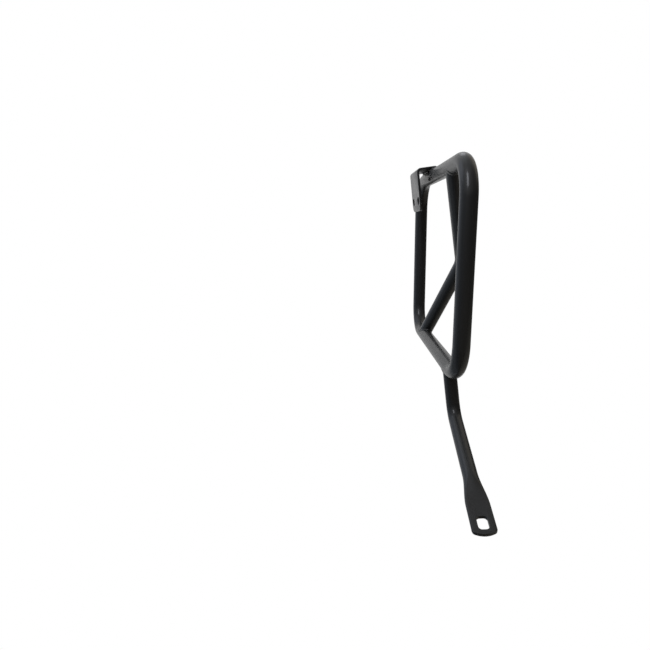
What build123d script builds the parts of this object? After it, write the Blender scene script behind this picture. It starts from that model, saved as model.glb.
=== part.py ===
from build123d import *
import os
from math import cos, pi, radians, sin, sqrt

# Pannier frame: a leaning hoop of bent tube with a bowed brace, a folded strap bracket on top
# and a strut below that ends in a pressed, slotted eye. Everything is steel and welded.
# The origin is midway between the bracket's two slots, on its inboard face.
# +X points outboard, +Y along the hoop from the strut's end to the bracket's end, +Z up.

# Driving dimensions, in millimetres and degrees

# Hoop, measured between the corners of its centre line
HOOP_OD = 19.0
HOOP_WALL = 2.0
HOOP_TOP = 300.0
HOOP_BOTTOM = 288.0
HOOP_HEIGHT = 232.0
HOOP_BEND_RADIUS = 40.0
HOOP_LEAN = 7.0
BUTT_WELD_PLACE = 143.0
BUTT_WELD_WIDTH = 2.0

# Brace, from the top run to the bottom run, bowed outboard at half height
BRACE_OD = 19.0
BRACE_WALL = 2.0
BRACE_TOP_PLACE = 78.0
BRACE_BOTTOM_PLACE = 232.0
BRACE_BOW = 35.0
BRACE_BEND_RADIUS = 40.0

# Strut, hung from the bottom run and bent forwards, its lower run turned a little inboard
STRUT_OD = 16.0
STRUT_WALL = 2.0
STRUT_PLACE = 53.0
STRUT_UPPER_RUN = 59.0
STRUT_UPPER_RAKE = 5.0
STRUT_LOWER_RUN = 162.0
STRUT_LOWER_RAKE = 69.0
STRUT_LOWER_TURN = 3.2
STRUT_BEND_RADIUS = 24.0

# Eye: the strut's end, pressed flat until its walls meet, with a slot along it
EYE_LENGTH = 32.0
EYE_TRANSITION = 38.0
EYE_END_RADIUS = 22.0
EYE_CORNER_RADIUS = 4.0
EYE_SLOT_LENGTH = 14.0
EYE_SLOT_WIDTH = 10.5
EYE_SLOT_CORNER_RADIUS = 3.5
EYE_SLOT_FROM_END = 12.0

# Bracket, a folded strap laid on the crown of the top run
STRAP_THICKNESS = 3.0
STRAP_WIDTH = 68.0
STRAP_DROP = 57.0
STRAP_FACE_OFFSET = 25.0
STRAP_LAP = 1.0
STRAP_BEND_RADIUS = 2.0
STRAP_CORNER_RADIUS = 10.0
STRAP_PLACE = 216.0
STRAP_SLOT_SPACING = 44.0
STRAP_SLOT_LENGTH = 15.0
STRAP_SLOT_WIDTH = 10.0
STRAP_SLOT_FROM_EDGE = 14.0

# Welds: how far a coped tube stops short of the hoop's centre line, the leg of each bead,
# and the narrow root under the strap that no weld reaches
COPE_TIP = 1.5
TUBE_WELD_LEG = 2.5
STRAP_WELD_LEG = 3.0
STRAP_WELD_ROOT = 2.5

# Shares of the pressed stretch at which its section is drawn, and the weight of steel
PRESS_STEPS = (0, 0.25, 0.5, 0.75, 1)
STEEL_KG_PER_MM3 = 7.85e-6

# Sizes and places that follow
top_run_x = STRAP_FACE_OFFSET
strap_top_z = STRAP_DROP - STRAP_SLOT_FROM_EDGE
crown_z = strap_top_z - STRAP_THICKNESS
top_run_z = crown_z - HOOP_OD / 2
lean = radians(HOOP_LEAN)
hoop_plane = Plane(
    origin=(top_run_x, -STRAP_PLACE, top_run_z),
    x_dir=(0, 1, 0),
    z_dir=(cos(lean), 0, -sin(lean)),
)


def on_hoop(along, down, outboard=0.0):
    """A point measured from the hoop's top front corner, along its top run, down its legs and outboard."""
    return hoop_plane.from_local_coords(Vector(along, -down, outboard))


def bar(path, diameter):
    """A solid round bar along a path."""
    start = Plane(origin=path @ 0, z_dir=path % 0)
    return sweep(start * Circle(diameter / 2), path=path)


def coped_end(on_axis, towards):
    """Where a tube that meets the hoop's centre line ends, with the thin tips of its cope ground off."""
    return on_axis + (towards - on_axis).normalized() * COPE_TIP


# Hoop


def hoop_path():
    """The hoop's centre line, from one side of its butt weld round to the other."""
    return FilletPolyline(
        on_hoop(BUTT_WELD_PLACE - BUTT_WELD_WIDTH / 2, HOOP_HEIGHT),
        on_hoop(0, HOOP_HEIGHT),
        on_hoop(0, 0),
        on_hoop(HOOP_TOP, 0),
        on_hoop(HOOP_BOTTOM, HOOP_HEIGHT),
        on_hoop(BUTT_WELD_PLACE + BUTT_WELD_WIDTH / 2, HOOP_HEIGHT),
        radius=HOOP_BEND_RADIUS,
    )


def butt_weld_bar(diameter):
    """A short bar that fills the gap between the hoop's two ends."""
    one_end = on_hoop(BUTT_WELD_PLACE - BUTT_WELD_WIDTH / 2, HOOP_HEIGHT)
    return extrude(Plane(origin=one_end, z_dir=(0, 1, 0)) * Circle(diameter / 2), BUTT_WELD_WIDTH)


def hoop_bar(grow=0.0):
    """The closed hoop as a solid bar, grown by a weld's leg where asked."""
    diameter = HOOP_OD + 2 * grow
    return bar(hoop_path(), diameter) + butt_weld_bar(diameter)


hoop_bore = HOOP_OD - 2 * HOOP_WALL
hoop_solid = hoop_bar()
hoop_near = hoop_bar(TUBE_WELD_LEG)
hoop_tube = bar(hoop_path(), HOOP_OD) - bar(hoop_path(), hoop_bore)
hoop_butt_weld = butt_weld_bar(HOOP_OD) - butt_weld_bar(hoop_bore)

# Brace

brace_bow = on_hoop((BRACE_TOP_PLACE + BRACE_BOTTOM_PLACE) / 2, HOOP_HEIGHT / 2, BRACE_BOW)
brace_path = FilletPolyline(
    coped_end(on_hoop(BRACE_TOP_PLACE, 0), brace_bow),
    brace_bow,
    coped_end(on_hoop(BRACE_BOTTOM_PLACE, HOOP_HEIGHT), brace_bow),
    radius=BRACE_BEND_RADIUS,
)
brace_solid = bar(brace_path, BRACE_OD)
brace_tube = brace_solid - bar(brace_path, BRACE_OD - 2 * BRACE_WALL) - hoop_solid
brace_beads = (bar(brace_path, BRACE_OD + 2 * TUBE_WELD_LEG) & hoop_near) - brace_solid - hoop_solid
brace_middle_z = on_hoop(0, HOOP_HEIGHT / 2).Z
brace_upper_weld = Part() + [bead for bead in brace_beads.solids() if bead.center().Z > brace_middle_z]
brace_lower_weld = Part() + [bead for bead in brace_beads.solids() if bead.center().Z < brace_middle_z]

# Strut and its pressed eye


def strut_direction(rake, turn=0.0):
    """Down and forwards at an angle to the vertical, turned inboard by another."""
    down_and_forwards = Vector(0, -sin(radians(rake)), -cos(radians(rake)))
    return Vector(-sin(radians(turn)), 0, 0) + down_and_forwards * cos(radians(turn))


strut_top = on_hoop(STRUT_PLACE, HOOP_HEIGHT)
strut_knee = strut_top + strut_direction(STRUT_UPPER_RAKE) * STRUT_UPPER_RUN
eye_direction = strut_direction(STRUT_LOWER_RAKE, STRUT_LOWER_TURN)
eye_across = (Vector(1, 0, 0) - eye_direction * eye_direction.X).normalized()
eye_end = strut_knee + eye_direction * STRUT_LOWER_RUN
press_start = eye_end - eye_direction * (EYE_LENGTH + EYE_TRANSITION)
eye_thickness = 2 * STRUT_WALL
eye_width = STRUT_WALL + pi / 2 * (STRUT_OD - STRUT_WALL)


def across_strut(distance):
    """A plane square to the strut, a distance past the start of the pressing."""
    return Plane(origin=press_start + eye_direction * distance, x_dir=eye_across, z_dir=eye_direction)


def between(start, end, share):
    """The value a share, 0 to 1, of the way from a start to an end."""
    return start + (end - start) * share


def pressed_outline(diameter, flat_width, flat_height, share):
    """A round outline pressed by a share, 0 to 1, of the way to a flat with rounded edges."""
    round_corner = diameter / 2 / sqrt(2)
    width = between(diameter, flat_width, share)
    height = between(diameter, flat_height, share)
    x = between(round_corner, (flat_width - flat_height) / 2, share)
    y = between(round_corner, flat_height / 2, share)
    left = ThreePointArc((-x, y), (-width / 2, 0), (-x, -y))
    right = ThreePointArc((x, -y), (width / 2, 0), (x, y))
    if share < 1:
        top = ThreePointArc((x, y), (0, height / 2), (-x, y))
        bottom = ThreePointArc((-x, -y), (0, -height / 2), (x, -y))
    else:
        top = Line((x, y), (-x, y))
        bottom = Line((-x, -y), (x, -y))
    return make_face([top, left, bottom, right])


def pressing(inset, steps):
    """The stretch where the tube's outline, less an inset, goes over into the flat, eased in and out."""
    sections = []
    for step in steps:
        share = step * step * (3 - 2 * step)
        diameter = STRUT_OD - 2 * inset
        outline = pressed_outline(diameter, eye_width - 2 * inset, eye_thickness - 2 * inset, share)
        sections.append(across_strut(step * EYE_TRANSITION) * outline)
    return loft(sections)


def eye_blank():
    """The flat past the pressing, with its rounded end and its slot."""
    section = pressed_outline(STRUT_OD, eye_width, eye_thickness, 1)
    flat = extrude(across_strut(EYE_TRANSITION) * section, EYE_LENGTH)
    half = eye_width / 2
    shoulder = EYE_LENGTH - EYE_END_RADIUS + sqrt(EYE_END_RADIUS**2 - half**2)
    sides = Polyline((-half, shoulder), (-half, 0), (half, 0), (half, shoulder))
    end_arc = ThreePointArc((half, shoulder), (0, EYE_LENGTH), (-half, shoulder))
    outline = make_face([*sides.edges(), end_arc])
    outline = fillet(outline.vertices().group_by(Axis.Y)[-1], EYE_CORNER_RADIUS)
    slot = RectangleRounded(EYE_SLOT_WIDTH, EYE_SLOT_LENGTH, EYE_SLOT_CORNER_RADIUS)
    slot = Pos(0, EYE_LENGTH - EYE_SLOT_FROM_END) * slot
    face_start = press_start + eye_direction * EYE_TRANSITION
    mid_plane = Plane(origin=face_start, x_dir=eye_across, z_dir=eye_across.cross(eye_direction))
    return flat & extrude(mid_plane * (outline - slot), eye_thickness, both=True)


strut_path = FilletPolyline(
    coped_end(strut_top, strut_knee),
    strut_knee,
    press_start,
    radius=STRUT_BEND_RADIUS,
)
strut_solid = bar(strut_path, STRUT_OD)
strut_hollow = bar(strut_path, STRUT_OD - 2 * STRUT_WALL) + pressing(STRUT_WALL, PRESS_STEPS[:-1])
strut_outside = strut_solid + pressing(0, PRESS_STEPS) + eye_blank()
lower_strut = strut_outside - strut_hollow - hoop_solid
strut_weld = (bar(strut_path, STRUT_OD + 2 * TUBE_WELD_LEG) & hoop_near) - strut_solid - hoop_solid

# Bracket


def folded_strap():
    """An upright leg on the mount and a top leg that reaches over the hoop's crown."""
    foot_z = -STRAP_SLOT_FROM_EDGE
    tip_x = top_run_x + STRAP_LAP
    profile = make_face(Polyline(
        (0, foot_z),
        (0, strap_top_z),
        (tip_x, strap_top_z),
        (tip_x, crown_z),
        (STRAP_THICKNESS, crown_z),
        (STRAP_THICKNESS, foot_z),
        close=True,
    ))
    fold_outside = profile.vertices().sort_by_distance((0, strap_top_z))[0]
    profile = fillet(fold_outside, STRAP_BEND_RADIUS + STRAP_THICKNESS)
    fold_inside = profile.vertices().sort_by_distance((STRAP_THICKNESS, crown_z))[0]
    profile = fillet(fold_inside, STRAP_BEND_RADIUS)
    strap = extrude(Plane.XZ * profile, STRAP_WIDTH / 2, both=True)
    foot_corners = strap.edges().filter_by(Axis.X).group_by(Axis.Z)[0]
    strap = fillet(foot_corners, STRAP_CORNER_RADIUS)
    slot = SlotOverall(STRAP_SLOT_LENGTH, STRAP_SLOT_WIDTH)
    slots = Sketch() + GridLocations(STRAP_SLOT_SPACING, 0, 2, 1) * slot
    return strap - extrude(Plane.YZ * slots, STRAP_THICKNESS, both=True)


def box_between(low, high):
    """A box from its lowest to its highest corner."""
    size = Vector(high) - Vector(low)
    return Pos(*low) * Box(*size, align=Align.MIN)


def strap_seat_weld(strap):
    """The bead round the strap's seat, within its leg of both the strap's end and the hoop."""
    leg = STRAP_WELD_LEG
    half = STRAP_WIDTH / 2
    tip_x = top_run_x + STRAP_LAP
    foot_z = crown_z - leg
    around = box_between((STRAP_THICKNESS, -half - leg, foot_z), (tip_x + leg, half + leg, strap_top_z))
    root = box_between((top_run_x - STRAP_WELD_ROOT, -half, foot_z), (tip_x, half, crown_z))
    return (around & hoop_bar(leg)) - strap - hoop_solid - root


upper_bracket = folded_strap()
bracket_weld = strap_seat_weld(upper_bracket)

pieces = {
    "hoop_tube": hoop_tube,
    "hoop_butt_weld": hoop_butt_weld,
    "brace_tube": brace_tube,
    "brace_upper_weld": brace_upper_weld,
    "brace_lower_weld": brace_lower_weld,
    "lower_strut": lower_strut,
    "strut_weld": strut_weld,
    "upper_bracket": upper_bracket,
    "bracket_weld": bracket_weld,
}

os.makedirs("parts", exist_ok=True)
for name, piece in pieces.items():
    export_step(piece, f"parts/{name}.step")
weight = sum(piece.volume for piece in pieces.values()) * STEEL_KG_PER_MM3
print(f"weight of the steel: {weight:.3f} kg")
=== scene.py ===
import bmesh
import bpy
from math import atan2, cos, pi, radians, sin, sqrt, tan
from mathutils import Matrix, Vector


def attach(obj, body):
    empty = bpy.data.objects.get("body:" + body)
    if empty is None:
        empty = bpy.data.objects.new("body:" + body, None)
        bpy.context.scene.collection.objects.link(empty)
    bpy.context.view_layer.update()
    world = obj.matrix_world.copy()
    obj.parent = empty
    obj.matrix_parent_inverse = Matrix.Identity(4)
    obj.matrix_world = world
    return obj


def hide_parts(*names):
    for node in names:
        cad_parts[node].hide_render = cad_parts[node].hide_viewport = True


# A pannier frame of bent and welded steel tube under black powder coat: a leaning hoop with a
# bowed brace, a folded strap bracket on top and a strut whose end is pressed to a slotted eye.
# Sizes are in millimetres and degrees. Meshes are in metres: MM is a millimetre in metres, and CM2 a square
# centimetre in square metres.

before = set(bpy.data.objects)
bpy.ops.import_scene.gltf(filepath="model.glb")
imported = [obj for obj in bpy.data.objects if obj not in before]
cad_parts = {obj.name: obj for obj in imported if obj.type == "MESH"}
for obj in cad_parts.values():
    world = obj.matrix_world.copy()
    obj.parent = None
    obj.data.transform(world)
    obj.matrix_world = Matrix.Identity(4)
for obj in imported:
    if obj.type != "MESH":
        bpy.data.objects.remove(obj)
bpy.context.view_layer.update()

MM = 0.001
CM2 = 1e-4

# Hoop, between the corners of its centre line
HOOP_OD = 19.0
HOOP_TOP = 300.0
HOOP_BOTTOM = 288.0
HOOP_HEIGHT = 232.0
HOOP_BEND_RADIUS = 40.0
HOOP_LEAN = 7.0
HOOP_CORNER = Vector((25.0, -216.0, 30.5))
BUTT_WELD_PLACE = 143.0
BUTT_WELD_WIDTH = 2.0

# Brace
BRACE_OD = 19.0
BRACE_TOP_PLACE = 78.0
BRACE_BOTTOM_PLACE = 232.0
BRACE_BOW = 35.0
BRACE_BEND_RADIUS = 40.0

# Strut and its pressed eye
STRUT_OD = 16.0
STRUT_WALL = 2.0
STRUT_PLACE = 53.0
STRUT_UPPER_RUN = 59.0
STRUT_UPPER_RAKE = 5.0
STRUT_LOWER_RUN = 162.0
STRUT_LOWER_RAKE = 69.0
STRUT_LOWER_TURN = 3.2
STRUT_BEND_RADIUS = 24.0
EYE_LENGTH = 32.0
EYE_TRANSITION = 38.0
EYE_THICKNESS = 2 * STRUT_WALL
EYE_WIDTH = STRUT_WALL + pi / 2 * (STRUT_OD - STRUT_WALL)
EYE_END_RADIUS = 22.0
EYE_CORNER_RADIUS = 4.0
EYE_SLOT_LENGTH = 14.0
EYE_SLOT_WIDTH = 10.5
EYE_SLOT_CORNER_RADIUS = 3.5
EYE_SLOT_FROM_END = 12.0
EYE_SEAM_WIDTH = 0.35
EYE_SEAM_DEPTH = 0.9

# Bracket
STRAP_THICKNESS = 3.0
STRAP_WIDTH = 68.0
STRAP_FOOT = -14.0
STRAP_TOP = 43.0
STRAP_TIP = 26.0
STRAP_BEND_RADIUS = 2.0
STRAP_CORNER_RADIUS = 10.0
STRAP_SLOT_SPACING = 44.0
STRAP_SLOT_LENGTH = 15.0
STRAP_SLOT_WIDTH = 10.0

# How far a cutting tool reaches past what it cuts, the softened edges under the coat, and what counts as a
# sharp edge, one plane, one point and three points in line
SPARE = 3.0
EDGE_ROUND = 0.45
EDGE_STEPS = 3
SHARP_ANGLE = radians(38)
SAME_PLANE = radians(0.1)
SAME_POINT = 0.2
IN_LINE = 1e-9

# Weld fillets where a tube meets the hoop: leg, swell, root under the surface, ripples and lumps
WELD_LEG = 2.5
WELD_CROWN = 0.35
WELD_SINK = 0.04
WELD_ROOT = 0.8
WELD_STEPS_ACROSS = 8
RIPPLE = 2.0
RIPPLE_STEPS = 8
RIPPLE_DEPTH = 0.14
RIPPLE_BOW = 0.6
RIPPLE_SHARPNESS = 2.0
LUMP_SIZE = 3.2
LUMP_DEPTH = 0.35
LUMP_DETAIL = 1.0
NOISE_MIDDLE = 0.5
UPPER_BEAD_SEED = 1
LOWER_BEAD_SEED = 2
STRUT_BEAD_SEED = 3

# The bracket's rougher bead: its radius, its line under the strap and over the crown, and its lumps
SEAT_BEAD_RADIUS = 2.0
SEAT_BEAD_STAND_OFF = 0.5
SEAT_UNDER = 4.2
SEAT_UNDER_DROP = 0.9
SEAT_LUMP_SIZE = 2.6
SEAT_LUMP_DEPTH = 2.0
SEAT_BEAD_SEED = 4

# Spatter on the tube round the front end of that bead: its reach, its droplets, and the angles it covers
SPATTER_REACH = 24.0
SPATTER_PER_CM2 = 14.0
SPATTER_SMALLEST = 0.25
SPATTER_LARGEST = 1.6
DROPLET_SUBDIVISIONS = 2
SPATTER_SEED = 7
SPATTER_FROM = 40.0
SPATTER_TO = 215.0
SPATTER_STEPS = 24

# Facets round a tube and along a bend
TUBE_SIDES = 64
BEND_STEPS = 28

# Powder coat: its blacks, its gloss and that of the skin on it, the dimples of its flow, and its slow drift
# in tone and gloss
COAT_BLACK = "#050606"
COAT_BLOOM = "#090a0b"
COAT_IOR = 1.5
COAT_SPECULAR = 0.35
COAT_ROUGHNESS = 0.6
SKIN_WEIGHT = 0.35
SKIN_ROUGHNESS = 0.18
COAT_DIMPLE = 1.8
COAT_DIMPLE_DEPTH = 0.006
COAT_DIMPLE_DETAIL = 2.0
COAT_DRIFT = 30.0
COAT_DRIFT_DETAIL = 3.0
COAT_GLOSS_DRIFT = 0.03
WELD_DIMPLE = 1.1
WELD_DIMPLE_DEPTH = 0.04

# Where the camera stood, its turn in degrees, and its focal length in pixels of the 650 by 650 picture
CAMERA_PLACE = Vector((-109.704, -720.887, -20.451))
CAMERA_YAW = -3.55
CAMERA_PITCH = -11.272
CAMERA_ROLL = -7.606
CAMERA_FOCAL_PX = 480.0
PICTURE_PX = 650.0
SENSOR_MM = 36.0

# Studio: a white world and floor, and a dimmer room round the sides, front and top, in reflections only.
# A patch of the room lies between two headings from +Y and two heights, in degrees from the room's middle,
# and has one colour. A lamp has its place, width, height, watts and colour.
WHITE = "#ffffff"
WORLD_LIGHT = 0.85
FLOOR_LEVEL = -322.0
FLOOR_HALF = 1500.0
FLOOR_COLOUR = "#e6e6e4"
ROOM_MIDDLE = Vector((0, -70, -100))
ROOM_RADIUS = 2500.0
PATCH_STEPS = 24
ROOM_PATCHES = (
    ("left_back_wall", (-72, -36), (-14, 55), "#d6dff0"),
    ("left_back_wall_foot", (-72, -52), (-90, -14), "#949ca4"),
    ("left_corner_foot", (-52, -36), (-90, -14), "#c0c8d2"),
    ("left_wall", (-104, -72), (-90, 55), "#a4acb6"),
    ("left_front_wall", (-140, -104), (-90, 20), "#565e68"),
    ("left_front_wall_top", (-140, -104), (20, 55), "#b6babd"),
    ("right_wall_foot", (36, 140), (-90, -20), "#aaa59c"),
    ("right_wall", (36, 140), (-20, 14), "#42403d"),
    ("right_back_wall_top", (36, 84), (14, 55), "#f0e8dc"),
    ("right_wall_top", (84, 140), (14, 55), "#7d7a76"),
    ("front_wall_foot", (140, 220), (-90, -6), "#706a61"),
    ("front_wall", (140, 220), (-6, 12), "#343434"),
    ("front_wall_top", (140, 220), (12, 55), "#9c9a96"),
    ("back_floor", (-36, 36), (-90, -50), "#898989"),
    ("back_ceiling", (-60, 30), (55, 90), "#ecf2f4"),
    ("ceiling", (30, 300), (55, 90), "#b8b8b8"),
)
LAMPS = (
    ("front_lamp", (-325, -840, 795), 340, 620, 5.8, "#f4f6ff"),
    ("back_lamp", (145, 750, 900), 400, 400, 1.0, "#f4f6ff"),
    ("left_window", (-900, 260, 850), 700, 700, 1.4, "#eef2ff"),
)


# Nodes and meshes


def linear(hex_colour):
    """An sRGB hex colour as a linear RGBA value."""
    channels = [int(hex_colour[place:place + 2], 16) / 255 for place in (1, 3, 5)]
    return [c / 12.92 if c <= 0.04045 else ((c + 0.055) / 1.055) ** 2.4 for c in channels] + [1.0]


def add_node(tree, kind, settings=None, **inputs):
    """A node with its settings; each input, by name or as in0, in1, is a value or an output to link."""
    node = tree.nodes.new(kind)
    for name, value in (settings or {}).items():
        setattr(node, name, value)
    for name, value in inputs.items():
        by_number = name.startswith("in") and name[2:].isdigit()
        socket = node.inputs[int(name[2:])] if by_number else node.inputs[name.replace("_", " ")]
        if isinstance(value, bpy.types.NodeSocket):
            tree.links.new(value, socket)
        else:
            socket.default_value = value
    return node


def new_material(name):
    """A material and its empty tree of nodes."""
    material = bpy.data.materials.new(name)
    material.use_nodes = True
    material.node_tree.nodes.clear()
    return material, material.node_tree


def new_tree(name, sizes):
    """A geometry tree with a named input for each size, its inputs and its output."""
    tree = bpy.data.node_groups.new(name, "GeometryNodeTree")
    tree.interface.new_socket("Geometry", in_out="INPUT", socket_type="NodeSocketGeometry")
    for label, kind in sizes.items():
        tree.interface.new_socket(label, in_out="INPUT", socket_type=f"NodeSocket{kind}")
    tree.interface.new_socket("Geometry", in_out="OUTPUT", socket_type="NodeSocketGeometry")
    return tree, tree.nodes.new("NodeGroupInput").outputs, tree.nodes.new("NodeGroupOutput").inputs


def end_tree(tree, geometry, material, sink):
    """The tree's last nodes: smooth faces, instances made real, and the material."""
    smooth = add_node(tree, "GeometryNodeSetShadeSmooth", Geometry=geometry)
    real = add_node(tree, "GeometryNodeRealizeInstances", Geometry=smooth.outputs[0])
    coated = add_node(tree, "GeometryNodeSetMaterial", Geometry=real.outputs[0], Material=material)
    tree.links.new(coated.outputs[0], sink[0])


def new_object(name, mesh):
    """A linked object at the origin."""
    obj = bpy.data.objects.new(name, mesh)
    bpy.context.scene.collection.objects.link(obj)
    return obj


def bake(obj):
    """Turns what an object's modifiers make into its plain mesh."""
    bpy.context.view_layer.update()
    depsgraph = bpy.context.evaluated_depsgraph_get()
    old = obj.data
    obj.data = bpy.data.meshes.new_from_object(obj.evaluated_get(depsgraph))
    obj.modifiers.clear()
    obj.data.name = obj.name
    bpy.data.meshes.remove(old)
    return obj


def grow(name, mesh, tree, **sizes):
    """The plain mesh that a geometry tree makes from a base mesh. _ stands for a space in a size's name."""
    obj = new_object(name, mesh)
    modifier = obj.modifiers.new(tree.name, "NODES")
    modifier.node_group = tree
    for label, value in sizes.items():
        modifier[tree.interface.items_tree[label.replace("_", " ")].identifier] = value
    return bake(obj)


def mesh_of(name, points, faces, edges=()):
    """A mesh from points in millimetres."""
    mesh = bpy.data.meshes.new(name)
    mesh.from_pydata([Vector(p) * MM for p in points], edges, faces)
    return mesh


def grid_faces(steps):
    """The faces of a square grid, between points that are listed row after row."""
    across = steps + 1
    firsts = [i * across + j for i in range(steps) for j in range(steps)]
    return [(first, first + 1, first + across + 1, first + across) for first in firsts]


def face_outwards(shape):
    """Turns every face of a closed shape outwards."""
    bmesh.ops.recalc_face_normals(shape, faces=shape.faces)
    if shape.calc_volume(signed=True) < 0:
        bmesh.ops.reverse_faces(shape, faces=shape.faces)


def prism(name, outline, place, depth):
    """An outline of (across, along) points made a solid, half its depth each way of a plane."""
    mesh = bpy.data.meshes.new(name)
    shape = bmesh.new()
    corners = [shape.verts.new(place @ Vector((x, y, -depth / 2)) * MM) for x, y in outline]
    lid = shape.faces.new(corners)
    pushed = bmesh.ops.extrude_face_region(shape, geom=[lid])["geom"]
    lift = place.to_3x3() @ Vector((0, 0, depth)) * MM
    bmesh.ops.translate(shape, vec=lift, verts=[v for v in pushed if isinstance(v, bmesh.types.BMVert)])
    face_outwards(shape)
    shape.to_mesh(mesh)
    shape.free()
    return new_object(name, mesh)


def cut(obj, *tools):
    """Takes each tool's shape out of an object."""
    for tool in tools:
        modifier = obj.modifiers.new("cut", "BOOLEAN")
        modifier.operation = "DIFFERENCE"
        modifier.solver = "EXACT"
        modifier.object = tool
    return bake(obj)


def shade(obj):
    """Smooth faces, with sharp edges kept."""
    obj.data.shade_smooth()
    obj.data.set_sharp_from_angle(angle=SHARP_ANGLE)
    return obj


def soften(obj):
    """Joins each flat area into one face, then rounds the sharp edges a little, as a coat does."""
    shape = bmesh.new()
    shape.from_mesh(obj.data)
    bmesh.ops.remove_doubles(shape, verts=shape.verts, dist=SAME_POINT * MM)
    bmesh.ops.dissolve_limit(shape, angle_limit=SAME_PLANE, verts=shape.verts, edges=shape.edges)
    shape.to_mesh(obj.data)
    shape.free()
    bevel = obj.modifiers.new("soft_edges", "BEVEL")
    bevel.width = EDGE_ROUND * MM
    bevel.segments = EDGE_STEPS
    bevel.limit_method = "ANGLE"
    bevel.angle_limit = SHARP_ANGLE
    return shade(bake(obj))


def arc(centre, radius, start, end, steps):
    """Points on an arc, from one angle to another, both ends among them."""
    angles = [start + (end - start) * i / steps for i in range(steps + 1)]
    return [(centre[0] + radius * cos(a), centre[1] + radius * sin(a)) for a in angles]


# Finish


def powder_coat(name, dimple, dimple_depth):
    """Polyester powder, sprayed dry and baked: semi-gloss black with the fine dimples of its flow."""
    material, tree = new_material(name)
    place = add_node(tree, "ShaderNodeTexCoord").outputs["Object"]
    drift = add_node(
        tree, "ShaderNodeTexNoise", Vector=place, Scale=1 / (COAT_DRIFT * MM), Detail=COAT_DRIFT_DETAIL
    ).outputs["Fac"]
    # A colour mix has its two colours on inputs 6 and 7, and gives the mixed one on output 2
    tint = add_node(
        tree, "ShaderNodeMix", {"data_type": "RGBA"}, Factor=drift, in6=linear(COAT_BLACK),
        in7=linear(COAT_BLOOM)
    )
    peel = add_node(
        tree, "ShaderNodeTexNoise", Vector=place, Scale=1 / (dimple * MM), Detail=COAT_DIMPLE_DETAIL
    )
    dimples = add_node(tree, "ShaderNodeBump", Distance=dimple_depth * MM, Height=peel.outputs["Fac"])
    gloss = add_node(
        tree, "ShaderNodeMapRange", Value=drift, To_Min=COAT_ROUGHNESS - COAT_GLOSS_DRIFT,
        To_Max=COAT_ROUGHNESS + COAT_GLOSS_DRIFT
    )
    coat = add_node(
        tree, "ShaderNodeBsdfPrincipled", IOR=COAT_IOR, Base_Color=tint.outputs[2],
        Roughness=gloss.outputs[0], Specular_IOR_Level=COAT_SPECULAR, Normal=dimples.outputs[0],
        Coat_Weight=SKIN_WEIGHT, Coat_Roughness=SKIN_ROUGHNESS
    )
    add_node(tree, "ShaderNodeOutputMaterial", Surface=coat.outputs[0])
    return material


tube_coat = powder_coat("black_powder_coat", COAT_DIMPLE, COAT_DIMPLE_DEPTH)
weld_coat = powder_coat("powder_coat_over_weld", WELD_DIMPLE, WELD_DIMPLE_DEPTH)


# Tubes


def on_hoop(along, down, outboard=0.0):
    """A point measured from the hoop's top front corner, along its top run, down its legs and outboard."""
    lean = radians(HOOP_LEAN)
    outboard_way = Vector((cos(lean), 0, -sin(lean)))
    downward = Vector((-sin(lean), 0, -cos(lean)))
    return HOOP_CORNER + Vector((0, along, 0)) + downward * down + outboard_way * outboard


def bent_tube_tree():
    """A line bent round at each corner and skinned as a round tube with closed ends."""
    tree, source, sink = new_tree("bent_tube", {
        "Outside diameter": "Float", "Bend radius": "Float", "Bend steps": "Int", "Sides": "Int",
        "Material": "Material",
    })
    line = add_node(tree, "GeometryNodeMeshToCurve", Mesh=source["Geometry"])
    bent = add_node(
        tree, "GeometryNodeFilletCurve", {"mode": "POLY"}, Curve=line.outputs[0], Count=source["Bend steps"],
        Radius=source["Bend radius"]
    )
    radius = add_node(
        tree, "ShaderNodeMath", {"operation": "DIVIDE"}, in0=source["Outside diameter"], in1=2.0
    )
    ring = add_node(
        tree, "GeometryNodeCurvePrimitiveCircle", Resolution=source["Sides"], Radius=radius.outputs[0]
    )
    skin = add_node(
        tree, "GeometryNodeCurveToMesh", Curve=bent.outputs[0], Profile_Curve=ring.outputs[0], Fill_Caps=True
    )
    end_tree(tree, skin.outputs[0], source["Material"], sink)
    return tree


bent_tube = bent_tube_tree()


def tube(name, corners, diameter, bend_radius):
    """A bent tube through corners of its centre line."""
    line = mesh_of(name, corners, [], [(i, i + 1) for i in range(len(corners) - 1)])
    return shade(grow(
        name, line, bent_tube, Outside_diameter=diameter * MM, Bend_radius=bend_radius * MM,
        Bend_steps=BEND_STEPS, Sides=TUBE_SIDES, Material=tube_coat
    ))


half_gap = BUTT_WELD_WIDTH / 2
weld_ends = [on_hoop(BUTT_WELD_PLACE + side * half_gap, HOOP_HEIGHT) for side in (-1, 1)]
hoop_corners = [
    weld_ends[0],
    on_hoop(0, HOOP_HEIGHT),
    on_hoop(0, 0),
    on_hoop(HOOP_TOP, 0),
    on_hoop(HOOP_BOTTOM, HOOP_HEIGHT),
    weld_ends[1],
]
hoop = tube("coated_hoop", hoop_corners, HOOP_OD, HOOP_BEND_RADIUS)
butt_weld = tube("ground_butt_weld", weld_ends, HOOP_OD, bend_radius=0.0)

brace_top = on_hoop(BRACE_TOP_PLACE, 0)
brace_bow = on_hoop((BRACE_TOP_PLACE + BRACE_BOTTOM_PLACE) / 2, HOOP_HEIGHT / 2, BRACE_BOW)
brace_bottom = on_hoop(BRACE_BOTTOM_PLACE, HOOP_HEIGHT)
brace = tube("coated_brace", [brace_top, brace_bow, brace_bottom], BRACE_OD, BRACE_BEND_RADIUS)
shade(cut(brace, hoop))


# Strut


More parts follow.
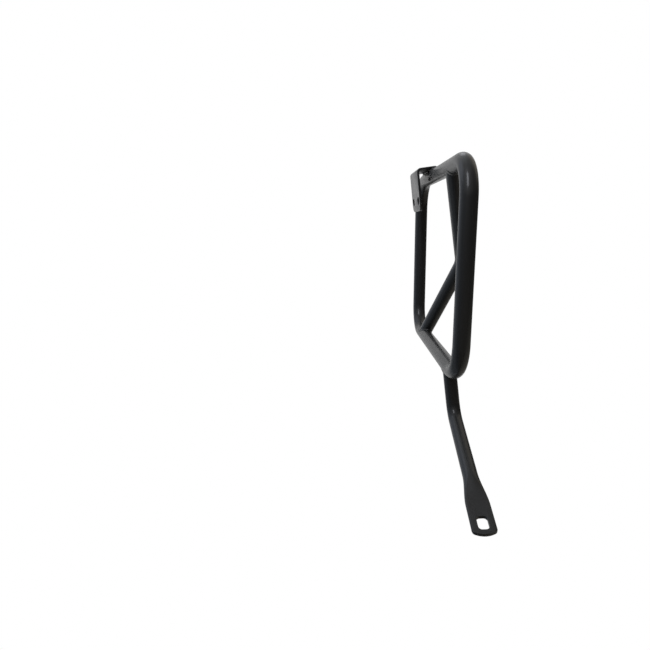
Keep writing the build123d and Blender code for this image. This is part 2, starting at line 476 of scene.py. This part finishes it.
def strut_direction(rake, turn=0.0):
    """Down and forwards at an angle to the vertical, turned inboard by another."""
    down_and_forwards = Vector((0, -sin(radians(rake)), -cos(radians(rake))))
    return Vector((-sin(radians(turn)), 0, 0)) + down_and_forwards * cos(radians(turn))


def sideways(way):
    """The outboard direction, made square to the strut's own."""
    return (Vector((1, 0, 0)) - way * way.x).normalized()


strut_top = on_hoop(STRUT_PLACE, HOOP_HEIGHT)
upper_way = strut_direction(STRUT_UPPER_RAKE)
strut_knee = strut_top + upper_way * STRUT_UPPER_RUN
eye_way = strut_direction(STRUT_LOWER_RAKE, STRUT_LOWER_TURN)
eye_end = strut_knee + eye_way * STRUT_LOWER_RUN


def arc_through(first, middle, last, steps):
    """Points on the arc through three points, without the last; a straight line where they are in line."""
    (ax, ay), (bx, by), (cx, cy) = first, middle, last
    turn = 2 * (ax * (by - cy) + bx * (cy - ay) + cx * (ay - by))
    if abs(turn) < IN_LINE:
        return [(ax + (cx - ax) * i / steps, ay + (cy - ay) * i / steps) for i in range(steps)]
    squares = (ax * ax + ay * ay, bx * bx + by * by, cx * cx + cy * cy)
    ux = (squares[0] * (by - cy) + squares[1] * (cy - ay) + squares[2] * (ay - by)) / turn
    uy = (squares[0] * (cx - bx) + squares[1] * (ax - cx) + squares[2] * (bx - ax)) / turn
    radius = sqrt((ax - ux) ** 2 + (ay - uy) ** 2)
    start = atan2(ay - uy, ax - ux)
    sweep = (atan2(cy - uy, cx - ux) - start) % (2 * pi)
    return arc((ux, uy), radius, start, start + sweep, steps)[:-1]


def pressed_ring(share):
    """The strut's outline, pressed by a share, 0 to 1, of the way from round to flat."""
    round_corner = STRUT_OD / 2 / sqrt(2)
    width = STRUT_OD + (EYE_WIDTH - STRUT_OD) * share
    height = STRUT_OD + (EYE_THICKNESS - STRUT_OD) * share
    x = round_corner + ((EYE_WIDTH - EYE_THICKNESS) / 2 - round_corner) * share
    y = round_corner + (EYE_THICKNESS / 2 - round_corner) * share
    steps = TUBE_SIDES // 4
    return (
        arc_through((x, y), (0, height / 2), (-x, y), steps)
        + arc_through((-x, y), (-width / 2, 0), (-x, -y), steps)
        + arc_through((-x, -y), (0, -height / 2), (x, -y), steps)
        + arc_through((x, -y), (width / 2, 0), (x, y), steps)
    )


def strut_stations():
    """Each ring's centre, direction and share of pressing, from the hoop's centre line past the eye's end."""
    bend = upper_way.angle(eye_way)
    inside = (eye_way - upper_way * eye_way.dot(upper_way)).normalized()
    bend_start = strut_knee - upper_way * STRUT_BEND_RADIUS * tan(bend / 2)
    stations = [(strut_top, upper_way, 0.0)]
    for i in range(BEND_STEPS + 1):
        turned = bend * i / BEND_STEPS
        place = bend_start + (upper_way * sin(turned) + inside * (1 - cos(turned))) * STRUT_BEND_RADIUS
        stations.append((place, upper_way * cos(turned) + inside * sin(turned), 0.0))
    press_start = eye_end - eye_way * (EYE_LENGTH + EYE_TRANSITION)
    for i in range(BEND_STEPS + 1):
        step = i / BEND_STEPS
        # Eased in and out, so that tube, transition and eye run smoothly into each other
        share = step * step * (3 - 2 * step)
        stations.append((press_start + eye_way * EYE_TRANSITION * step, eye_way, share))
    stations.append((eye_end + eye_way * SPARE / 2, eye_way, 1.0))
    return stations


def strut_skin():
    """The strut as one closed skin, before its end is trimmed and its slot is cut."""
    shape = bmesh.new()
    rings = []
    for centre, way, share in strut_stations():
        across = sideways(way)
        outward = across.cross(way)
        points = [centre + across * x + outward * y for x, y in pressed_ring(share)]
        rings.append([shape.verts.new(p * MM) for p in points])
    for ring, following in zip(rings, rings[1:]):
        for i in range(TUBE_SIDES):
            after = (i + 1) % TUBE_SIDES
            shape.faces.new((ring[i], ring[after], following[after], following[i]))
    shape.faces.new(rings[0])
    shape.faces.new(rings[-1])
    face_outwards(shape)
    mesh = bpy.data.meshes.new("coated_strut")
    shape.to_mesh(mesh)
    shape.free()
    mesh.materials.append(tube_coat)
    return new_object("coated_strut", mesh)


def eye_slot(grown):
    """The eye's slot, a rectangle with round corners, grown all round."""
    radius = EYE_SLOT_CORNER_RADIUS + grown
    x = EYE_SLOT_WIDTH / 2 + grown - radius
    y = EYE_SLOT_LENGTH / 2 + grown - radius
    points = []
    for quarter, (way_x, way_y) in enumerate(((1, 1), (-1, 1), (-1, -1), (1, -1))):
        corner = (way_x * x, way_y * y - EYE_SLOT_FROM_END)
        points += arc(corner, radius, quarter * pi / 2, (quarter + 1) * pi / 2, BEND_STEPS // 4)
    return points


def past_eye_end(inset):
    """All that lies past the eye's rounded end, less an inset, with its small corner rounds."""
    half = EYE_WIDTH / 2
    end_centre = -EYE_END_RADIUS - inset
    corner_x = half - EYE_CORNER_RADIUS
    inner = EYE_END_RADIUS - EYE_CORNER_RADIUS
    corner_y = end_centre + sqrt(inner**2 - corner_x**2)
    lean = atan2(corner_y - end_centre, corner_x)
    steps = BEND_STEPS // 2
    right = arc((corner_x, corner_y), EYE_CORNER_RADIUS, 0, lean, steps)
    end = arc((0, end_centre), EYE_END_RADIUS, lean, pi - lean, 2 * steps)
    left = arc((-corner_x, corner_y), EYE_CORNER_RADIUS, pi - lean, pi, steps)
    outside = half + SPARE
    far = [(-outside, corner_y), (-outside, SPARE), (outside, SPARE), (outside, corner_y)]
    return right + end[1:-1] + left + far


eye_across = sideways(eye_way)
eye_turn = Matrix((eye_across, eye_way, eye_across.cross(eye_way))).transposed().to_4x4()
eye_plane = Matrix.Translation(eye_end) @ eye_turn
eye_through = 2 * EYE_THICKNESS
eye_tools = [
    prism("end_trim", past_eye_end(0), eye_plane, eye_through),
    prism("slot_tool", eye_slot(0), eye_plane, eye_through),
]
seam_tools = [
    prism("end_seam", past_eye_end(EYE_SEAM_DEPTH), eye_plane, EYE_SEAM_WIDTH),
    prism("slot_seam", eye_slot(EYE_SEAM_DEPTH), eye_plane, EYE_SEAM_WIDTH),
]
strut = soften(cut(strut_skin(), *eye_tools))
shade(cut(strut, hoop, *seam_tools))


# Bracket


def strap_profile():
    """The folded strap's section: its upright leg on the mount, its fold, and its leg over the hoop."""
    outer = STRAP_BEND_RADIUS + STRAP_THICKNESS
    fold = (outer, STRAP_TOP - outer)
    steps = BEND_STEPS // 2
    outside = arc(fold, outer, pi, pi / 2, steps)
    inside = arc(fold, STRAP_BEND_RADIUS, pi / 2, pi, steps)
    tip = [(STRAP_TIP, STRAP_TOP), (STRAP_TIP, STRAP_TOP - STRAP_THICKNESS)]
    return [(0, STRAP_FOOT)] + outside + tip + inside + [(STRAP_THICKNESS, STRAP_FOOT)]


def strap_slot(centre):
    """A slot's outline on the upright leg, its length along the strap's width."""
    reach = (STRAP_SLOT_LENGTH - STRAP_SLOT_WIDTH) / 2
    radius = STRAP_SLOT_WIDTH / 2
    steps = BEND_STEPS // 2
    far = arc((centre + reach, 0), radius, -pi / 2, pi / 2, steps)
    near = arc((centre - reach, 0), radius, pi / 2, 1.5 * pi, steps)
    return far + near


def foot_corner(side):
    """What is cut from a lower corner of the upright leg, to round it."""
    edge = side * STRAP_WIDTH / 2
    inner = edge - side * STRAP_CORNER_RADIUS
    top = STRAP_FOOT + STRAP_CORNER_RADIUS
    quarter = arc((0, 0), STRAP_CORNER_RADIUS, 0, -pi / 2, BEND_STEPS // 2)
    round_off = [(inner + side * x, top + y) for x, y in quarter]
    below = STRAP_FOOT - SPARE
    outside = edge + side * SPARE
    return round_off + [(inner, below), (outside, below), (outside, top)]


across_strap = Matrix(((1, 0, 0), (0, 0, -1), (0, 1, 0))).to_4x4()
on_strap_leg = Matrix(((0, 0, 1), (1, 0, 0), (0, 1, 0))).to_4x4()
strap_through = 4 * STRAP_THICKNESS
bracket = prism("coated_bracket", strap_profile(), across_strap, STRAP_WIDTH)
bracket.data.materials.append(tube_coat)
bracket_tools = []
for side in (-1, 1):
    slot_outline = strap_slot(side * STRAP_SLOT_SPACING / 2)
    bracket_tools.append(prism("bracket_slot_tool", slot_outline, on_strap_leg, strap_through))
    bracket_tools.append(prism("bracket_corner_tool", foot_corner(side), on_strap_leg, strap_through))
soften(cut(bracket, *bracket_tools))

for tool in eye_tools + seam_tools + bracket_tools:
    bpy.data.objects.remove(tool)


# Welds


def rippled_bead_tree():
    """A plain bead made rippled and lumpy: it swells along its crown, in bows that follow its seam."""
    tree, source, sink = new_tree("rippled_bead", {
        "Ripple": "Float", "Ripple depth": "Float", "Ripple bow": "Float", "Lump size": "Float",
        "Lump depth": "Float", "Seed": "Float", "Material": "Material",
    })
    seam = add_node(tree, "GeometryNodeInputNamedAttribute", {"data_type": "FLOAT"}, Name="seam").outputs[0]
    crown = add_node(tree, "GeometryNodeInputNamedAttribute", {"data_type": "FLOAT"}, Name="crown").outputs[0]
    place = add_node(tree, "GeometryNodeInputPosition").outputs[0]
    normal = add_node(tree, "GeometryNodeInputNormal").outputs[0]
    count = add_node(tree, "ShaderNodeMath", {"operation": "DIVIDE"}, in0=seam, in1=source["Ripple"])
    bowed = add_node(
        tree, "ShaderNodeMath", {"operation": "MULTIPLY_ADD"}, in0=crown, in1=source["Ripple bow"],
        in2=count.outputs[0]
    )
    rise = add_node(tree, "ShaderNodeMath", {"operation": "FRACT"}, in0=bowed.outputs[0])
    crest = add_node(
        tree, "ShaderNodeMath", {"operation": "POWER"}, in0=rise.outputs[0], in1=RIPPLE_SHARPNESS
    )
    ripple = add_node(
        tree, "ShaderNodeMath", {"operation": "MULTIPLY"}, in0=crest.outputs[0], in1=source["Ripple depth"]
    )
    often = add_node(tree, "ShaderNodeMath", {"operation": "DIVIDE"}, in0=1.0, in1=source["Lump size"])
    noise = add_node(
        tree, "ShaderNodeTexNoise", {"noise_dimensions": "4D"}, Vector=place, W=source["Seed"],
        Scale=often.outputs[0], Detail=LUMP_DETAIL
    )
    swing = add_node(
        tree, "ShaderNodeMath", {"operation": "SUBTRACT"}, in0=noise.outputs[0], in1=NOISE_MIDDLE
    )
    height = add_node(
        tree, "ShaderNodeMath", {"operation": "MULTIPLY_ADD"}, in0=swing.outputs[0], in1=source["Lump depth"],
        in2=ripple.outputs[0]
    )
    swell = add_node(tree, "ShaderNodeMath", {"operation": "MULTIPLY"}, in0=height.outputs[0], in1=crown)
    push = add_node(
        tree, "ShaderNodeVectorMath", {"operation": "SCALE"}, Vector=normal, Scale=swell.outputs[0]
    )
    lumpy = add_node(tree, "GeometryNodeSetPosition", Geometry=source["Geometry"], Offset=push.outputs[0])
    end_tree(tree, lumpy.outputs[0], source["Material"], sink)
    return tree


rippled_bead = rippled_bead_tree()


def bead(name, sections, lump_size, lump_depth, seed):
    """A closed bead through sections, each a loop of (point, crown share), with whole ripples all round."""
    around = len(sections[0])
    points = [point for section in sections for point, _ in section]
    faces = []
    for i in range(len(sections)):
        this = i * around
        following = (i + 1) % len(sections) * around
        for j in range(around):
            after = (j + 1) % around
            faces.append((this + j, this + after, following + after, following + j))
    mesh = mesh_of(name, points, faces)
    steps = [(sections[i][0][0] - sections[i - 1][0][0]).length for i in range(1, len(sections))]
    length = sum(steps) + (sections[0][0][0] - sections[-1][0][0]).length
    seam = mesh.attributes.new("seam", "FLOAT", "POINT")
    crown = mesh.attributes.new("crown", "FLOAT", "POINT")
    for i, section in enumerate(sections):
        for j, (_, share) in enumerate(section):
            seam.data[i * around + j].value = sum(steps[:i]) * MM
            crown.data[i * around + j].value = share
    shape = bmesh.new()
    shape.from_mesh(mesh)
    face_outwards(shape)
    shape.to_mesh(mesh)
    shape.free()
    return grow(
        name, mesh, rippled_bead, Ripple=length / round(length / RIPPLE) * MM, Ripple_depth=RIPPLE_DEPTH * MM,
        Ripple_bow=RIPPLE_BOW, Lump_size=lump_size * MM, Lump_depth=lump_depth * MM, Seed=float(seed),
        Material=weld_coat
    )


def square_to_hoop(vector):
    """What is left of a vector without its part along the hoop's straight runs."""
    return Vector((vector.x, 0, vector.z))


def saddle(on_axis, towards, tube_diameter):
    """Sections of a fillet round a tube where it meets a straight run of the hoop."""
    way = (towards - on_axis).normalized()
    along = (Vector((0, 1, 0)) - way * way.y).normalized()
    third = way.cross(along)
    tube_radius = tube_diameter / 2
    hoop_radius = HOOP_OD / 2

    def meeting(radial):
        """How far along the tube a line beside its axis comes out of the hoop, or comes nearest to it."""
        a = square_to_hoop(way).length_squared
        b = square_to_hoop(radial).dot(square_to_hoop(way))
        c = square_to_hoop(radial).length_squared - hoop_radius**2
        return (sqrt(max(b * b - a * c, 0.0)) - b) / a

    sections = []
    count = round(2 * pi * tube_radius / RIPPLE) * RIPPLE_STEPS
    for i in range(count):
        angle = 2 * pi * i / count
        radial = along * cos(angle) + third * sin(angle)
        corner = radial * tube_radius + way * meeting(radial * tube_radius)
        wider = radial * (tube_radius + WELD_LEG)
        foot = wider + way * meeting(wider)
        on_hoop_side = square_to_hoop(foot).normalized()
        foot = on_hoop_side * (hoop_radius - WELD_SINK) + Vector((0, foot.y, 0))
        head = corner + way * WELD_LEG - radial * WELD_SINK
        outward = (radial + square_to_hoop(corner).normalized()).normalized()
        section = []
        for j in range(WELD_STEPS_ACROSS + 1):
            share = j / WELD_STEPS_ACROSS
            # Nothing at the fillet's two edges, and 1 midway between them
            crown = 4 * share * (1 - share)
            section.append((on_axis + head.lerp(foot, share) + outward * WELD_CROWN * crown, crown))
        section.append((on_axis + corner - outward * WELD_ROOT, 0.0))
        sections.append(section)
    return sections


def strap_seat_line():
    """The line round the bracket's seat: under its leg, over the crown at each end and along its tip."""
    half = STRAP_WIDTH / 2 + SEAT_BEAD_STAND_OFF
    crown = STRAP_TOP - STRAP_THICKNESS
    under = (HOOP_CORNER.x - SEAT_UNDER, crown - SEAT_UNDER_DROP)
    tip = (STRAP_TIP + SEAT_BEAD_STAND_OFF, crown)
    return [
        Vector((under[0], half, under[1])),
        Vector((under[0], -half, under[1])),
        Vector((tip[0], -half, tip[1])),
        Vector((tip[0], half, tip[1])),
    ]


def strap_seat():
    """Round sections along the bracket's seat, as close together as the ripples need."""
    corners = strap_seat_line()
    sections = []
    for start, end in zip(corners, corners[1:] + corners[:1]):
        count = round((end - start).length / RIPPLE) * RIPPLE_STEPS
        for i in range(count):
            point = start.lerp(end, i / count)
            leg = (end - start).normalized()
            side = leg.cross(Vector((0, 0, 1))).normalized()
            up = side.cross(leg)
            ring = arc((0, 0), SEAT_BEAD_RADIUS, 0, 2 * pi, 2 * WELD_STEPS_ACROSS)[:-1]
            sections.append([(point + side * x + up * y, 1.0) for x, y in ring])
    return sections


upper_bead = bead(
    "brace_upper_bead", saddle(brace_top, brace_bow, BRACE_OD), LUMP_SIZE, LUMP_DEPTH, UPPER_BEAD_SEED
)
lower_bead = bead(
    "brace_lower_bead", saddle(brace_bottom, brace_bow, BRACE_OD), LUMP_SIZE, LUMP_DEPTH, LOWER_BEAD_SEED
)
strut_bead = bead(
    "strut_bead", saddle(strut_top, strut_knee, STRUT_OD), LUMP_SIZE, LUMP_DEPTH, STRUT_BEAD_SEED
)
seat_bead = bead("bracket_bead", strap_seat(), SEAT_LUMP_SIZE, SEAT_LUMP_DEPTH, SEAT_BEAD_SEED)


def spatter_tree():
    """Droplets strewn over a surface where it is marked near the weld, each sunk to its middle."""
    tree, source, sink = new_tree("weld_spatter", {
        "Droplets per area": "Float", "Smallest": "Float", "Largest": "Float", "Seed": "Int",
        "Material": "Material",
    })
    near = add_node(tree, "GeometryNodeInputNamedAttribute", {"data_type": "FLOAT"}, Name="near").outputs[0]
    density = add_node(
        tree, "ShaderNodeMath", {"operation": "MULTIPLY"}, in0=near, in1=source["Droplets per area"]
    )
    spots = add_node(
        tree, "GeometryNodeDistributePointsOnFaces", Mesh=source["Geometry"], Density=density.outputs[0],
        Seed=source["Seed"]
    )
    droplet = add_node(tree, "GeometryNodeMeshIcoSphere", Radius=1.0, Subdivisions=DROPLET_SUBDIVISIONS)
    # A random number has its least and greatest on inputs 2 and 3, and comes out on output 1
    size = add_node(
        tree, "FunctionNodeRandomValue", {"data_type": "FLOAT"}, in2=source["Smallest"],
        in3=source["Largest"], Seed=source["Seed"]
    )
    strewn = add_node(
        tree, "GeometryNodeInstanceOnPoints", Points=spots.outputs["Points"], Instance=droplet.outputs[0],
        Scale=size.outputs[1]
    )
    end_tree(tree, strewn.outputs[0], source["Material"], sink)
    return tree


def spattered_tube():
    """The top run's skin round the front end of the bracket's bead, marked by how near it lies."""
    front = strap_seat_line()[1]
    rows = []
    for i in range(SPATTER_STEPS + 1):
        y = front.y - SPATTER_REACH + 2 * SPATTER_REACH * i / SPATTER_STEPS
        angles = (radians(SPATTER_FROM), radians(SPATTER_TO))
        ring = arc((HOOP_CORNER.x, HOOP_CORNER.z), HOOP_OD / 2, *angles, SPATTER_STEPS)
        rows.append([Vector((x, y, z)) for x, z in ring])
    points = [point for row in rows for point in row]
    mesh = mesh_of("spattered_tube", points, grid_faces(SPATTER_STEPS))
    near = mesh.attributes.new("near", "FLOAT", "POINT")
    for i, point in enumerate(points):
        near.data[i].value = max(0.0, 1 - (point - front).length / SPATTER_REACH)
    return mesh


spatter = grow(
    "weld_spatter", spattered_tube(), spatter_tree(), Droplets_per_area=SPATTER_PER_CM2 / CM2,
    Smallest=SPATTER_SMALLEST * MM, Largest=SPATTER_LARGEST * MM, Seed=SPATTER_SEED, Material=weld_coat
)

dressed = (
    (hoop, "hoop_tube"),
    (butt_weld, "hoop_butt_weld"),
    (brace, "brace_tube"),
    (upper_bead, "brace_upper_weld"),
    (lower_bead, "brace_lower_weld"),
    (strut, "lower_strut"),
    (strut_bead, "strut_weld"),
    (bracket, "upper_bracket"),
    (seat_bead, "bracket_weld"),
)
for piece, node in dressed:
    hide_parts(node)
for piece in [piece for piece, _ in dressed] + [spatter]:
    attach(piece, "root")


# Studio


def camera_matrix():
    """The camera's place and turn, from its yaw, pitch and roll."""
    yaw = radians(CAMERA_YAW)
    pitch = radians(CAMERA_PITCH)
    roll = radians(CAMERA_ROLL)
    ahead = Vector((sin(yaw) * cos(pitch), cos(yaw) * cos(pitch), sin(pitch)))
    level = Vector((cos(yaw), -sin(yaw), 0))
    upright = level.cross(ahead)
    right = level * cos(roll) + upright * sin(roll)
    up = upright * cos(roll) - level * sin(roll)
    turn = Matrix((right, up, -ahead)).transposed().to_4x4()
    return Matrix.Translation(CAMERA_PLACE * MM) @ turn


camera = bpy.data.objects.new("camera", bpy.data.cameras.new("camera"))
camera.data.sensor_width = SENSOR_MM
camera.data.lens = SENSOR_MM * CAMERA_FOCAL_PX / PICTURE_PX
camera.matrix_world = camera_matrix()
bpy.context.scene.collection.objects.link(camera)
bpy.context.scene.camera = camera


def seen_white(tree, white_kind, other):
    """White to the camera, in reflections and through glass, and another shader to all other light."""
    path = add_node(tree, "ShaderNodeLightPath").outputs
    seen = add_node(
        tree, "ShaderNodeMath", {"operation": "MAXIMUM"}, in0=path["Is Camera Ray"],
        in1=path["Is Transmission Ray"]
    )
    mirrored = add_node(
        tree, "ShaderNodeMath", {"operation": "MAXIMUM"}, in0=seen.outputs[0], in1=path["Is Glossy Ray"]
    )
    white = add_node(tree, white_kind, Color=linear(WHITE), Strength=1.0)
    return add_node(tree, "ShaderNodeMixShader", in0=mirrored.outputs[0], in1=other, in2=white.outputs[0])


def pale_floor():
    """A plain floor just under the eye: white from above, clear from below, and left out of reflections."""
    material, tree = new_material("pale_floor")
    pale = add_node(tree, "ShaderNodeBsdfDiffuse", Color=linear(FLOOR_COLOUR))
    above = seen_white(tree, "ShaderNodeEmission", pale.outputs[0])
    below = add_node(tree, "ShaderNodeNewGeometry").outputs["Backfacing"]
    clear = add_node(tree, "ShaderNodeBsdfTransparent")
    floor = add_node(tree, "ShaderNodeMixShader", in0=below, in1=above.outputs[0], in2=clear.outputs[0])
    add_node(tree, "ShaderNodeOutputMaterial", Surface=floor.outputs[0])
    corners = [(-1, -1), (1, -1), (1, 1), (-1, 1)]
    points = [(x * FLOOR_HALF, y * FLOOR_HALF, FLOOR_LEVEL) for x, y in corners]
    mesh = mesh_of("pale_floor", points, [(0, 1, 2, 3)])
    mesh.materials.append(material)
    obj = new_object("pale_floor", mesh)
    obj.visible_glossy = False


pale_floor()


def room_patch(name, headings, heights, colour):
    """A patch of the room's dome between two headings from +Y and two heights, that only reflections show."""
    material, tree = new_material(name)
    glow = add_node(tree, "ShaderNodeEmission", Color=linear(colour), Strength=1.0)
    add_node(tree, "ShaderNodeOutputMaterial", Surface=glow.outputs[0])
    points = []
    for i in range(PATCH_STEPS + 1):
        height = radians(heights[0] + (heights[1] - heights[0]) * i / PATCH_STEPS)
        for j in range(PATCH_STEPS + 1):
            heading = radians(headings[0] + (headings[1] - headings[0]) * j / PATCH_STEPS)
            way = Vector((sin(heading) * cos(height), cos(heading) * cos(height), sin(height)))
            points.append(ROOM_MIDDLE + way * ROOM_RADIUS)
    mesh = mesh_of(name, points, grid_faces(PATCH_STEPS))
    mesh.materials.append(material)
    obj = new_object(name, mesh)
    obj.visible_camera = False
    obj.visible_diffuse = False
    obj.visible_shadow = False


for name, headings, heights, colour in ROOM_PATCHES:
    room_patch(name, headings, heights, colour)


def softbox(name, place, width, height, watts, colour):
    """A rectangular lamp that faces the room's middle."""
    lamp = bpy.data.lights.new(name, "AREA")
    lamp.shape = "RECTANGLE"
    lamp.size = width * MM
    lamp.size_y = height * MM
    lamp.energy = watts
    lamp.color = linear(colour)[:3]
    obj = bpy.data.objects.new(name, lamp)
    obj.location = place * MM
    obj.rotation_euler = (ROOM_MIDDLE - place).to_track_quat("-Z", "Y").to_euler()
    bpy.context.scene.collection.objects.link(obj)


for name, place, width, height, watts, colour in LAMPS:
    softbox(name, Vector(place), width, height, watts, colour)

world = bpy.data.worlds.new("studio_world")
bpy.context.scene.world = world
world.use_nodes = True
world.node_tree.nodes.clear()
dim = add_node(world.node_tree, "ShaderNodeBackground", Color=linear(WHITE), Strength=WORLD_LIGHT)
sky = seen_white(world.node_tree, "ShaderNodeBackground", dim.outputs[0])
add_node(world.node_tree, "ShaderNodeOutputWorld", Surface=sky.outputs[0])

bpy.context.scene.view_settings.view_transform = "Standard"
